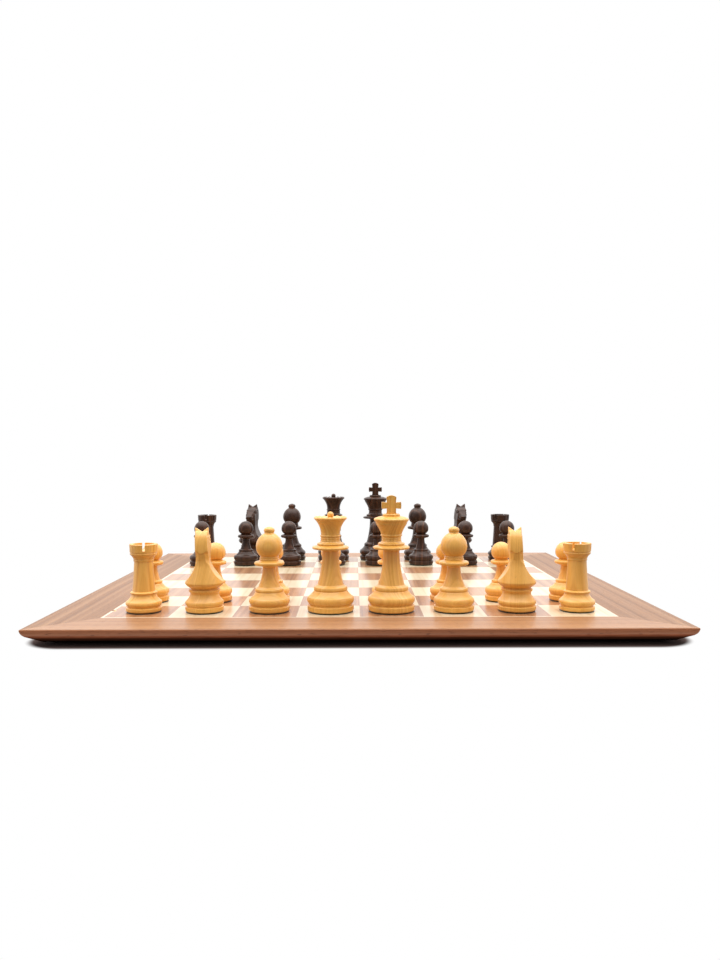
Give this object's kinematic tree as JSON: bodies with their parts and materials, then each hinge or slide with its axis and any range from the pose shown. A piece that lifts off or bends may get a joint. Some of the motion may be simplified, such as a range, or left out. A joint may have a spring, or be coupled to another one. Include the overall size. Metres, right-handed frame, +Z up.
{
  "type": "chess set with board",
  "caption": "Turned wooden chess pieces set out for play on a square inlaid board with a mitred, bevelled frame; every piece lifts off.",
  "frame": {"origin": "middle of the board, on the plane that its rubber feet stand on", "axes": "+Z up; +Y from White's side to Black's; +X from the a-file to the h-file"},
  "size_m": [0.495, 0.495, 0.1075],
  "materials": {
    "boxwood": "satin",
    "dark_wood": "satin",
    "walnut_rail": "satin",
    "walnut_veneer": "satin",
    "maple_veneer": "satin",
    "core_panel": "matt",
    "rubber_feet": "matt"
  },
  "bodies": {
    "board": {"board_core": "core_panel", "underside_veneer": "walnut_veneer", "rail_front": "walnut_rail", "rail_right": "walnut_rail", "rail_back": "walnut_rail", "rail_left": "walnut_rail", "dark_squares": "walnut_veneer", "light_squares": "maple_veneer", "line_inlay": "maple_veneer", "corner_plug": "boxwood", "foot_pads": "rubber_feet"},
    "white_rook_a": {"white_rook_a": "boxwood"},
    "white_knight_b": {"white_knight_b_base": "boxwood", "white_knight_b_head": "boxwood"},
    "white_bishop_c": {"white_bishop_c": "boxwood"},
    "white_queen": {"white_queen": "boxwood"},
    "white_king": {"white_king_body": "boxwood", "white_king_cross": "boxwood"},
    "white_bishop_f": {"white_bishop_f": "boxwood"},
    "white_knight_g": {"white_knight_g_base": "boxwood", "white_knight_g_head": "boxwood"},
    "white_rook_h": {"white_rook_h": "boxwood"},
    "white_pawn_a": {"white_pawn_a": "boxwood"},
    "white_pawn_b": {"white_pawn_b": "boxwood"},
    "white_pawn_c": {"white_pawn_c": "boxwood"},
    "white_pawn_d": {"white_pawn_d": "boxwood"},
    "white_pawn_e": {"white_pawn_e": "boxwood"},
    "white_pawn_f": {"white_pawn_f": "boxwood"},
    "white_pawn_g": {"white_pawn_g": "boxwood"},
    "white_pawn_h": {"white_pawn_h": "boxwood"},
    "black_rook_a": {"black_rook_a": "dark_wood"},
    "black_knight_b": {"black_knight_b_base": "dark_wood", "black_knight_b_head": "dark_wood"},
    "black_bishop_c": {"black_bishop_c": "dark_wood"},
    "black_queen": {"black_queen": "dark_wood"},
    "black_king": {"black_king_body": "dark_wood", "black_king_cross": "dark_wood"},
    "black_bishop_f": {"black_bishop_f": "dark_wood"},
    "black_knight_g": {"black_knight_g_base": "dark_wood", "black_knight_g_head": "dark_wood"},
    "black_rook_h": {"black_rook_h": "dark_wood"},
    "black_pawn_a": {"black_pawn_a": "dark_wood"},
    "black_pawn_b": {"black_pawn_b": "dark_wood"},
    "black_pawn_c": {"black_pawn_c": "dark_wood"},
    "black_pawn_d": {"black_pawn_d": "dark_wood"},
    "black_pawn_e": {"black_pawn_e": "dark_wood"},
    "black_pawn_f": {"black_pawn_f": "dark_wood"},
    "black_pawn_g": {"black_pawn_g": "dark_wood"},
    "black_pawn_h": {"black_pawn_h": "dark_wood"}
  },
  "joints": [
    {"name": "white_rook_a_lift", "type": "slide", "parent": "board", "child": "white_rook_a", "axis": [0, 0, 1], "range_m": [0, 0.12]},
    {"name": "white_knight_b_lift", "type": "slide", "parent": "board", "child": "white_knight_b", "axis": [0, 0, 1], "range_m": [0, 0.12]},
    {"name": "white_bishop_c_lift", "type": "slide", "parent": "board", "child": "white_bishop_c", "axis": [0, 0, 1], "range_m": [0, 0.12]},
    {"name": "white_queen_lift", "type": "slide", "parent": "board", "child": "white_queen", "axis": [0, 0, 1], "range_m": [0, 0.12]},
    {"name": "white_king_lift", "type": "slide", "parent": "board", "child": "white_king", "axis": [0, 0, 1], "range_m": [0, 0.12]},
    {"name": "white_bishop_f_lift", "type": "slide", "parent": "board", "child": "white_bishop_f", "axis": [0, 0, 1], "range_m": [0, 0.12]},
    {"name": "white_knight_g_lift", "type": "slide", "parent": "board", "child": "white_knight_g", "axis": [0, 0, 1], "range_m": [0, 0.12]},
    {"name": "white_rook_h_lift", "type": "slide", "parent": "board", "child": "white_rook_h", "axis": [0, 0, 1], "range_m": [0, 0.12]},
    {"name": "white_pawn_a_lift", "type": "slide", "parent": "board", "child": "white_pawn_a", "axis": [0, 0, 1], "range_m": [0, 0.12]},
    {"name": "white_pawn_b_lift", "type": "slide", "parent": "board", "child": "white_pawn_b", "axis": [0, 0, 1], "range_m": [0, 0.12]},
    {"name": "white_pawn_c_lift", "type": "slide", "parent": "board", "child": "white_pawn_c", "axis": [0, 0, 1], "range_m": [0, 0.12]},
    {"name": "white_pawn_d_lift", "type": "slide", "parent": "board", "child": "white_pawn_d", "axis": [0, 0, 1], "range_m": [0, 0.12]},
    {"name": "white_pawn_e_lift", "type": "slide", "parent": "board", "child": "white_pawn_e", "axis": [0, 0, 1], "range_m": [0, 0.12]},
    {"name": "white_pawn_f_lift", "type": "slide", "parent": "board", "child": "white_pawn_f", "axis": [0, 0, 1], "range_m": [0, 0.12]},
    {"name": "white_pawn_g_lift", "type": "slide", "parent": "board", "child": "white_pawn_g", "axis": [0, 0, 1], "range_m": [0, 0.12]},
    {"name": "white_pawn_h_lift", "type": "slide", "parent": "board", "child": "white_pawn_h", "axis": [0, 0, 1], "range_m": [0, 0.12]},
    {"name": "black_rook_a_lift", "type": "slide", "parent": "board", "child": "black_rook_a", "axis": [0, 0, 1], "range_m": [0, 0.12]},
    {"name": "black_knight_b_lift", "type": "slide", "parent": "board", "child": "black_knight_b", "axis": [0, 0, 1], "range_m": [0, 0.12]},
    {"name": "black_bishop_c_lift", "type": "slide", "parent": "board", "child": "black_bishop_c", "axis": [0, 0, 1], "range_m": [0, 0.12]},
    {"name": "black_queen_lift", "type": "slide", "parent": "board", "child": "black_queen", "axis": [0, 0, 1], "range_m": [0, 0.12]},
    {"name": "black_king_lift", "type": "slide", "parent": "board", "child": "black_king", "axis": [0, 0, 1], "range_m": [0, 0.12]},
    {"name": "black_bishop_f_lift", "type": "slide", "parent": "board", "child": "black_bishop_f", "axis": [0, 0, 1], "range_m": [0, 0.12]},
    {"name": "black_knight_g_lift", "type": "slide", "parent": "board", "child": "black_knight_g", "axis": [0, 0, 1], "range_m": [0, 0.12]},
    {"name": "black_rook_h_lift", "type": "slide", "parent": "board", "child": "black_rook_h", "axis": [0, 0, 1], "range_m": [0, 0.12]},
    {"name": "black_pawn_a_lift", "type": "slide", "parent": "board", "child": "black_pawn_a", "axis": [0, 0, 1], "range_m": [0, 0.12]},
    {"name": "black_pawn_b_lift", "type": "slide", "parent": "board", "child": "black_pawn_b", "axis": [0, 0, 1], "range_m": [0, 0.12]},
    {"name": "black_pawn_c_lift", "type": "slide", "parent": "board", "child": "black_pawn_c", "axis": [0, 0, 1], "range_m": [0, 0.12]},
    {"name": "black_pawn_d_lift", "type": "slide", "parent": "board", "child": "black_pawn_d", "axis": [0, 0, 1], "range_m": [0, 0.12]},
    {"name": "black_pawn_e_lift", "type": "slide", "parent": "board", "child": "black_pawn_e", "axis": [0, 0, 1], "range_m": [0, 0.12]},
    {"name": "black_pawn_f_lift", "type": "slide", "parent": "board", "child": "black_pawn_f", "axis": [0, 0, 1], "range_m": [0, 0.12]},
    {"name": "black_pawn_g_lift", "type": "slide", "parent": "board", "child": "black_pawn_g", "axis": [0, 0, 1], "range_m": [0, 0.12]},
    {"name": "black_pawn_h_lift", "type": "slide", "parent": "board", "child": "black_pawn_h", "axis": [0, 0, 1], "range_m": [0, 0.12]}
  ]
}
